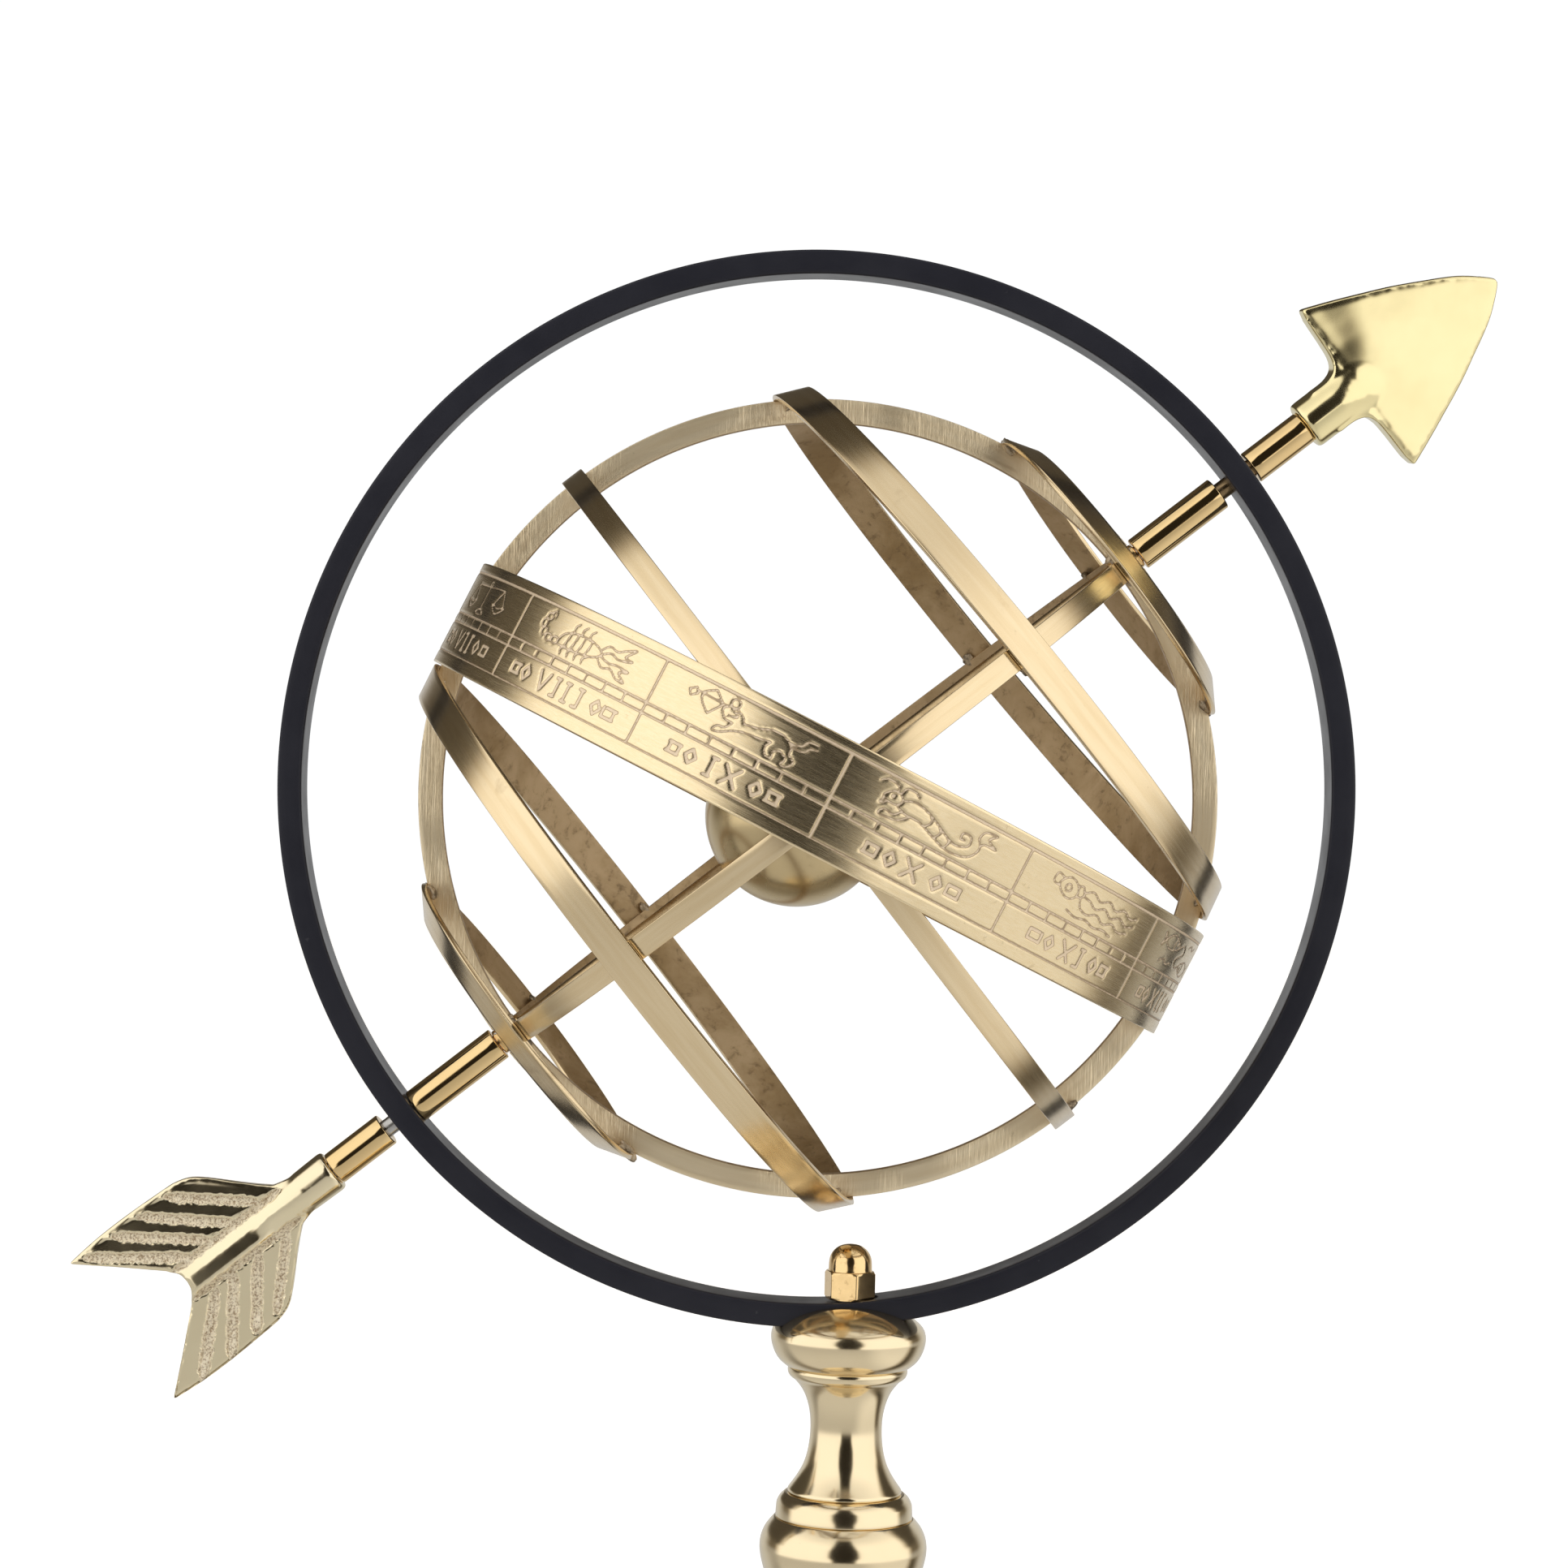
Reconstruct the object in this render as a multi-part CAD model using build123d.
from build123d import *
import math
import os

# Desk armillary sphere: a turned brass column carries a black steel ring, and
# a brass cage of celestial hoops spins on an arrow-shaped polar axle.
# Millimetres, +Z up. Origin: centre of the foot's underside, on the column
# axis. -Y is the front. The polar axle rises towards +X.

os.makedirs("parts", exist_ok=True)

# --- shared sizes ------------------------------------------------------------
RUN = 0.06              # running clearance, radial
FIT = 0.02              # fixed fit, radial

RING_R = 152.5          # outer ring: outer radius
RING_W = 6.8            # radial thickness
RING_D = 15.5           # depth front to back
RING_CX = -13.2         # centre of the ring from the column axis
RING_CZ = 345.0         # height of the ring's centre

STUD_R = 4.0            # tie stud up the column
STUD_Z0, STUD_Z1 = 19.0, 211.5
STUD_CLEAR = 0.1        # radial
CAP_NUT_Z = 200.1       # seat of the cap nut, just above the ring's inside

AXLE_ANGLE = 38.9       # inclination of the polar axle, degrees
CAGE_ALONG = -1.35      # cage centre from ring centre, along the axle
CAGE_ACROSS = -2.43     # and across it
ROD_R = 2.6             # axle rod

# --- frames ------------------------------------------------------------------
angle = math.radians(AXLE_ANGLE)
along = Vector(math.cos(angle), 0, math.sin(angle))     # to the arrow head
across = Vector(-math.sin(angle), 0, math.cos(angle))
ring_centre = Vector(RING_CX, 0, RING_CZ)
# Axle frame: local Z along the axle, local X across it, local Y to the front
AXLE = Plane(
    origin=ring_centre + along * CAGE_ALONG + across * CAGE_ACROSS,
    x_dir=across,
    z_dir=along,
)
RING_PLANE = Plane(origin=ring_centre, x_dir=(1, 0, 0), z_dir=(0, -1, 0))


# --- helpers -----------------------------------------------------------------
def save(name, shape):
    shape.label = name
    export_step(shape, f"parts/{name}.step")


def profile(*segments):
    """Face in the XZ plane bounded by (kind, points) segments of (x, z) points.

    Each segment after the first starts where the one before it ended, and a
    straight line closes the outline if it is still open.
    """
    edges = []
    last = []
    for kind, points in segments:
        points = last + points
        vectors = [Vector(x, 0, z) for x, z in points]
        if kind == "spline":
            edges.append(Edge.make_spline(vectors))
        elif kind == "arc":
            edges.append(Edge.make_three_point_arc(*vectors))
        else:
            edges += [Edge.make_line(a, b) for a, b in zip(vectors, vectors[1:])]
        last = points[-1:]
    start = segments[0][1][0]
    if last[0] != start:
        edges.append(Edge.make_line(vectors[-1], Vector(start[0], 0, start[1])))
    return Face(Wire(edges))


def turned(*segments):
    """A piece turned on the lathe: (radius, z) profile revolved about Z."""
    return revolve(profile(*segments), axis=Axis.Z, revolution_arc=360)


def rod_z(radius, z0, z1):
    return Pos(0, 0, (z0 + z1) / 2) * Cylinder(radius, z1 - z0)


def chamfer_rims(shape, size):
    """Chamfer every circular edge."""
    return chamfer(shape.edges().filter_by(GeomType.CIRCLE), size)


def flat_ring(plane, radius, width, thickness):
    """Ring lying in a plane, centred on it; width is measured inwards."""
    face = plane * (Circle(radius) - Circle(radius - width))
    return extrude(face, thickness / 2, both=True)


def slab(face, half):
    """Thicken an XZ face by the same amount to the front and back."""
    return extrude(face, half, dir=(0, 1, 0)) + extrude(face, half, dir=(0, -1, 0))


def mirrored(points):
    """Points reflected in x, in reverse order."""
    return [(-x, z) for x, z in reversed(points)]


# --- outer ring --------------------------------------------------------------
RING_CHAMFER = 0.45
RING_AXLE_CLEAR = 0.08
RING_STUD_CLEAR = 0.15
NUT_FLAT_R = 8.1        # flat spot under the cap nut

ring = flat_ring(RING_PLANE, RING_R, RING_W, RING_D)
ring = chamfer_rims(ring, RING_CHAMFER)
ring -= AXLE * rod_z(ROD_R + RING_AXLE_CLEAR, -175, 175)
ring -= rod_z(STUD_R + RING_STUD_CLEAR, 185, 230)
ring -= rod_z(NUT_FLAT_R, CAP_NUT_Z, CAP_NUT_Z + 20)
save("outer_ring", ring)

# --- column, from the table up -----------------------------------------------
PAD_R = 65.0
PAD_CHAMFER = 0.4
# Top of each piece
Z_PAD = 2.0
Z_FOOT = 38.0
Z_COLLAR = 46.0
Z_STEM = 110.0
Z_LOW_RING = 117.0
Z_BULB = 137.7
Z_STEP = 144.6
Z_NECK = 181.0
Z_SADDLE = 199.4
Z_RECESS = 30.0         # ceiling of the hollow under the foot
SLOT_CLEAR_R = 0.06     # saddle slot around the ring, radial
SLOT_CLEAR_Y = 0.12     # and on each face

pad = rod_z(PAD_R, 0.0, Z_PAD)
pad = chamfer(pad.edges().group_by(Axis.Z)[-1], PAD_CHAMFER)
save("base_pad", pad)

# Clearance hole for the stud, long enough for every piece of the column
stud_bore = rod_z(STUD_R + STUD_CLEAR, 20, 205)

# Half sections, as (radius, z) points
COLUMN = {
    "base_foot": [
        ("line", [(0, Z_FOOT), (20.5, Z_FOOT), (21.3, Z_FOOT - 0.8), (21.3, Z_FOOT - 3.2)]),
        ("spline", [(22.6, 31.0), (27.0, 26.0), (36.0, 21.4), (47.0, 18.6), (54.0, 16.4),
                    (57.0, 14.0)]),
        ("line", [(60.0, 14.0)]),
        ("spline", [(63.2, 12.9), (65.2, 10.4), (65.4, 9.0)]),
        ("line", [(67.2, 9.0)]),
        ("spline", [(68.2, 7.4), (68.4, 5.4), (67.9, 3.4), (66.8, Z_PAD)]),
        ("line", [(61.5, Z_PAD), (60.5, 8.5), (52.0, 12.0), (34.0, 16.8), (22.0, 22.0),
                  (16.0, Z_RECESS), (0, Z_RECESS)]),
    ],
    "base_collar": [
        ("line", [(0, Z_FOOT), (20.0, Z_FOOT)]),
        ("arc", [(24.0, (Z_FOOT + Z_COLLAR) / 2), (20.0, Z_COLLAR)]),
        ("line", [(0, Z_COLLAR)]),
    ],
    "column_stem": [
        ("line", [(0, Z_COLLAR), (16.2, Z_COLLAR), (16.8, 46.8), (16.8, 49.0), (15.4, 50.0)]),
        ("spline", [(17.9, 54.0), (18.6, 59.0), (16.9, 66.0), (13.4, 74.0), (10.9, 83.0),
                    (10.2, 91.0), (11.4, 99.0), (14.6, 105.4), (16.7, 108.4)]),
        ("line", [(16.7, Z_STEM), (0, Z_STEM)]),
    ],
    "column_lower_ring": [
        ("line", [(0, Z_STEM), (17.6, Z_STEM)]),
        ("spline", [(18.9, 111.0), (19.4, 113.0)]),
        ("line", [(19.6, Z_LOW_RING - 0.3), (19.3, Z_LOW_RING), (0, Z_LOW_RING)]),
    ],
    "column_bulb": [
        ("line", [(0, Z_LOW_RING), (19.6, Z_LOW_RING)]),
        ("spline", [(21.4, 119.6), (23.0, 124.0), (23.85, 128.4), (23.65, 131.4),
                    (22.4, 134.6), (19.9, Z_BULB)]),
        ("line", [(0, Z_BULB)]),
    ],
    "column_step_ring": [
        ("line", [(0, Z_BULB), (19.3, Z_BULB), (19.6, Z_BULB + 0.3), (19.35, 141.6)]),
        ("spline", [(18.6, 143.2), (17.1, Z_STEP)]),
        ("line", [(0, Z_STEP)]),
    ],
    "column_neck": [
        ("line", [(0, Z_STEP), (16.0, Z_STEP), (16.3, 145.0), (16.25, 145.7)]),
        ("spline", [(13.8, 149.2), (12.0, 152.6), (10.75, 157.0), (10.2, 163.0),
                    (10.45, 167.0), (11.4, 171.0), (12.75, 174.0), (15.3, 177.2)]),
        ("spline", [(16.5, 178.0), (17.1, 179.4), (16.9, 180.6), (16.5, Z_NECK)]),
        ("line", [(0, Z_NECK)]),
    ],
}
for name, half_section in COLUMN.items():
    save(name, turned(*half_section) - stud_bore)

saddle = turned(
    ("line", [(0, Z_NECK), (17.7, Z_NECK)]),
    ("spline", [(19.8, 182.8), (21.4, 185.6), (22.1, 188.8), (21.7, 191.3), (19.4, 193.9),
                (14.5, 196.7), (8.0, 198.6), (0, Z_SADDLE)]),
)
# Slot that the ring's lower arc drops into
saddle -= extrude(
    RING_PLANE * Circle(RING_R + SLOT_CLEAR_R), RING_D / 2 + SLOT_CLEAR_Y, both=True
)
saddle -= stud_bore
save("saddle_head", saddle)

# --- stud, washer and nuts ---------------------------------------------------
STUD_CHAMFER = 0.8
WASHER_R = 12.0
WASHER_Z = 28.4         # underside of the washer, top of the base nut
BASE_NUT_Z = 21.9       # underside of the base nut
NUT_FLATS = 13.0        # across flats
NUT_CORNER_R = 7.6      # corners turned down to this radius
NUT_BEVEL_H = 0.7       # height of the turned bevel at each end
CAP_HEX_TOP = CAP_NUT_Z + 7.9
CAP_TOP = CAP_NUT_Z + 15.6
CAP_BORE_TOP = STUD_Z1 + 1.1


def hex_nut(z0, z1, face_r, turn):
    """Hexagon bevelled at both ends down to a flat face of radius face_r."""
    hexagon = RegularPolygon(NUT_FLATS / 2, 6, major_radius=False)
    prism = extrude(Pos(0, 0, z0) * Rot(0, 0, turn) * hexagon, z1 - z0)
    return prism & turned(
        ("line", [(0, z0), (face_r, z0), (NUT_CORNER_R, z0 + NUT_BEVEL_H),
                  (NUT_CORNER_R, z1 - NUT_BEVEL_H), (face_r, z1), (0, z1)]),
    )


save("tie_stud", chamfer_rims(rod_z(STUD_R, STUD_Z0, STUD_Z1), STUD_CHAMFER))
save("base_washer", rod_z(WASHER_R, WASHER_Z, Z_RECESS) - stud_bore)

base_nut = hex_nut(BASE_NUT_Z, WASHER_Z, face_r=6.4, turn=0)
base_nut -= rod_z(STUD_R + FIT, 15, 35)
save("base_nut", base_nut)

dome = turned(
    ("line", [(0, CAP_HEX_TOP - 0.5), (6.1, CAP_HEX_TOP - 0.5), (6.1, CAP_HEX_TOP + 1.9)]),
    ("spline", [(5.75, CAP_HEX_TOP + 4.1), (4.4, CAP_HEX_TOP + 6.2),
                (2.4, CAP_HEX_TOP + 7.35), (0, CAP_TOP)]),
)
cap_nut = hex_nut(CAP_NUT_Z, CAP_HEX_TOP, face_r=6.5, turn=-76) + dome
cap_nut -= rod_z(STUD_R + RUN, CAP_NUT_Z - 1, CAP_BORE_TOP)
save("cap_nut", cap_nut)

# --- polar axle: rod, spacer tubes and ball ----------------------------------
# From here on everything is built in the axle frame.
ROD_Z0, ROD_Z1 = -187.0, 189.0
ROD_CHAMFER = 0.4
TUBE_R = 4.9
TUBE_CHAMFER = 0.3
# Start and end of each tube along the axle
TUBES = {
    "head_inner_tube": (114.6, 143.2),
    "head_outer_tube": (155.0, 174.0),
    "tail_inner_tube": (-144.15, -114.5),
    "tail_outer_tube": (-173.3, -154.7),
}
BALL_R, BALL_Z = 26.0, -7.7

save("axle_rod", AXLE * chamfer_rims(rod_z(ROD_R, ROD_Z0, ROD_Z1), ROD_CHAMFER))

for name, (z0, z1) in TUBES.items():
    tube = chamfer_rims(rod_z(TUBE_R, z0, z1), TUBE_CHAMFER)
    tube -= rod_z(ROD_R + RUN, z0 - 1, z1 + 1)
    save(name, AXLE * tube)

ball = Pos(0, 0, BALL_Z) * Sphere(BALL_R)
ball -= rod_z(ROD_R + FIT, -50, 50)
save("globe_ball", AXLE * ball)

# --- arrow head --------------------------------------------------------------
# Outlines of head and tail are (across, along) points in the axle frame.
HEAD_TIP = 243.0
HEAD_FLANK = [          # from beside the tip to the barb
    (2.6, 241.6), (7.4, 235.4), (12.2, 227.0), (16.9, 218.0), (20.9, 209.0),
    (24.3, 201.0), (27.6, 192.6),
]
HEAD_BACK = [(20.0, 192.4), (10.0, 191.2), (7.0, 188.0)]    # barb to socket
BLADE_HALF = 6.0        # half thickness before trimming to the ellipse
BLADE_ELLIPSE = (30.0, 4.7)     # half axes of the lens-like cross-section

far_flank = mirrored(HEAD_FLANK)
blade = slab(
    profile(
        ("spline", HEAD_FLANK),
        ("line", HEAD_BACK + mirrored(HEAD_BACK) + far_flank[:1]),
        ("spline", far_flank[1:]),
        ("spline", [(0, HEAD_TIP), HEAD_FLANK[0]]),
    ),
    BLADE_HALF,
)
# Thick in the middle and thin at the rim
blade &= Pos(0, 0, 150) * extrude(Ellipse(*BLADE_ELLIPSE), 120)
head_socket = turned(
    ("line", [(0, 174.2), (7.0, 174.2), (7.5, 174.8), (7.5, 190.0)]),
    ("spline", [(7.0, 198.0), (5.4, 208.0), (3.0, 220.0), (0, 230.0)]),
)
arrow_head = blade + head_socket
arrow_head -= rod_z(ROD_R + FIT, 170, 190.5)
save("arrow_head", AXLE * arrow_head)

# --- arrow tail: two swept vanes, a round rib and diagonal grooves ------------
TAIL_SHOULDER = [(7.2, -190.0), (9.6, -193.0), (20.4, -204.0), (23.4, -208.0), (24.6, -212.0)]
TAIL_EDGE = [(25.4, -228.0), (25.2, -241.0), (24.4, -249.5)]    # outer edge to the tip
VANE_HALF = 2.3         # half thickness
GROOVE_R = 1.55
GROOVE_X = 6.8          # inner end, across the axle
GROOVE_Y = 3.3          # groove centre line, just off the vane's face
GROOVE_RUN = 14.5       # length measured across the axle
GROOVE_ANGLE = 42.0     # from the axle, degrees
GROOVE_Z, GROOVE_PITCH, GROOVE_COUNT = -199.5, 7.0, 4

far_shoulder, far_edge = mirrored(TAIL_SHOULDER), mirrored(TAIL_EDGE)
vanes = slab(
    profile(
        ("line", [(6.0, -186.0), TAIL_SHOULDER[0]]),
        ("spline", TAIL_SHOULDER[1:]),
        ("spline", TAIL_EDGE),
        ("line", [(5.6, -228.5)]),
        ("spline", [(2.8, -226.3), (0, -225.7), (-2.8, -226.3), (-5.6, -228.5)]),
        ("line", far_edge[:1]),
        ("spline", far_edge[1:] + far_shoulder[:1]),
        ("spline", far_shoulder[1:]),
        ("line", [(-6.0, -186.0)]),
    ),
    VANE_HALF,
)
tail_socket = turned(
    ("line", [(0, -173.6), (6.0, -173.6), (6.3, -174.0), (6.1, -184.0)]),
    ("spline", [(5.6, -190.0), (4.4, -197.0), (3.9, -206.0), (3.9, -226.0)]),
    ("line", [(0, -226.0)]),
)
arrow_tail = vanes + tail_socket
groove_drop = GROOVE_RUN / math.tan(math.radians(GROOVE_ANGLE))
for side in (1, -1):
    for face in (1, -1):
        for i in range(GROOVE_COUNT):
            z = GROOVE_Z - i * GROOVE_PITCH
            inner = Vector(side * GROOVE_X, face * GROOVE_Y, z)
            outer = Vector(side * (GROOVE_X + GROOVE_RUN), face * GROOVE_Y, z - groove_drop)
            span = outer - inner
            middle = Plane(origin=(inner + outer) * 0.5, z_dir=span.normalized())
            arrow_tail -= middle * Cylinder(GROOVE_R, span.length)
arrow_tail -= rod_z(ROD_R + FIT, -188.5, -170)
save("arrow_tail", AXLE * arrow_tail)

# --- cage: meridian, colure and pole bushes ----------------------------------
SPHERE_R = 113.6        # outside of the flat meridian ring
MERIDIAN_W, MERIDIAN_T = 6.8, 3.6
COLURE_R = SPHERE_R - 0.06
COLURE_W, COLURE_T = 6.3, 1.5
BUSH_R = 3.8
BUSH_Z0, BUSH_Z1 = 105.6, 114.3
BUSH_CHAMFER = 0.3

bush_hole = rod_z(BUSH_R + FIT, -130, 130)

meridian_plane = Plane(origin=(0, 0, 0), x_dir=(1, 0, 0), z_dir=(0, -1, 0))
meridian = flat_ring(meridian_plane, SPHERE_R, MERIDIAN_W, MERIDIAN_T) - bush_hole
for name, side in (("upper", 1), ("lower", -1)):
    half = meridian & (Pos(side * 100, 0, 0) * Box(200, 20, 300))
    save(f"meridian_half_{name}", AXLE * half)

colure_plane = Plane(origin=(0, 0, 0), x_dir=(0, 1, 0), z_dir=(1, 0, 0))
colure = flat_ring(colure_plane, COLURE_R, COLURE_T, COLURE_W) - bush_hole
for name, side in (("front", 1), ("back", -1)):
    half = colure & (Pos(0, side * 100, 0) * Box(20, 200, 300))
    save(f"colure_{name}", AXLE * half)

for name, z0, z1 in (("north", BUSH_Z0, BUSH_Z1), ("south", -BUSH_Z1, -BUSH_Z0)):
    bush = chamfer_rims(rod_z(BUSH_R, z0, z1), BUSH_CHAMFER)
    bush -= rod_z(ROD_R + RUN, -130, 130)
    save(f"pole_bush_{name}", AXLE * bush)

# --- cage: hoops -------------------------------------------------------------
HOOP_R = SPHERE_R + 0.03        # soldered hoops sit just off the meridian
HOOP_T = 1.5
EQUATOR_W = 6.8
TROPIC_W, TROPIC_CONE = 10.0, 25.5      # cone: slope of the strip to the axle
POLAR_W, POLAR_CONE = 9.5, 57.0
POLAR_Z = 102.75
# name, edge nearest the equator, width, cone, turn to its own pole, tilt.
# The two tropics are hand-set and lean a little.
HOOPS = [
    ("capricorn_hoop", 61.5, TROPIC_W, TROPIC_CONE, 180, 0.4),
    ("cancer_hoop", 62.1, TROPIC_W, TROPIC_CONE, 0, 2.1),
    ("arctic_hoop", POLAR_Z, POLAR_W, POLAR_CONE, 0, 0),
    ("antarctic_hoop", POLAR_Z, POLAR_W, POLAR_CONE, 180, 0),
]


def cone_hoop(z_edge, width, cone):
    """Strip bent into a cone: its edge nearest the equator rests on the
    meridian ring at z_edge, and it slopes in towards the pole."""
    cosine, sine = math.cos(math.radians(cone)), math.sin(math.radians(cone))
    edge_r = math.sqrt(HOOP_R ** 2 - z_edge ** 2)

    def corner(up, out):
        return (edge_r - sine * up + cosine * out, z_edge + cosine * up + sine * out)

    return turned(
        ("line", [corner(0, 0), corner(width, 0), corner(width, HOOP_T), corner(0, HOOP_T)]),
    )


equator = turned(
    ("line", [(HOOP_R, -EQUATOR_W / 2), (HOOP_R + HOOP_T, -EQUATOR_W / 2),
              (HOOP_R + HOOP_T, EQUATOR_W / 2), (HOOP_R, EQUATOR_W / 2)]),
)
save("equator_hoop", AXLE * equator)

for name, z_edge, width, cone, turn, tilt in HOOPS:
    hoop = Rot(turn, 0, 0) * cone_hoop(z_edge, width, cone)
    save(name, AXLE * (Rot(0, tilt, 0) * hoop))

# --- cage: zodiac band -------------------------------------------------------
ZODIAC_W, ZODIAC_T = 30.8, 1.1
ZODIAC_TILT = 25.2      # lean across the equator, degrees
ZODIAC_ROLL = 1.4       # small lean front to back, degrees
ZODIAC_RX = 113.66      # inner radius where it rests on the meridian ring
ZODIAC_RY = 115.22      # inner radius where it passes over the equator strip

tilt, roll = math.radians(ZODIAC_TILT), math.radians(ZODIAC_ROLL)
zodiac_plane = Plane(
    origin=(0, 0, 0),
    x_dir=(math.cos(tilt), 0, -math.sin(tilt)),
    z_dir=(math.sin(tilt) * math.cos(roll), -math.sin(roll), math.cos(tilt) * math.cos(roll)),
)
zodiac_outer = Ellipse(ZODIAC_RX + ZODIAC_T, ZODIAC_RY + ZODIAC_T)
zodiac_face = zodiac_plane * (zodiac_outer - Ellipse(ZODIAC_RX, ZODIAC_RY))
save("zodiac_band", AXLE * extrude(zodiac_face, ZODIAC_W / 2, both=True))
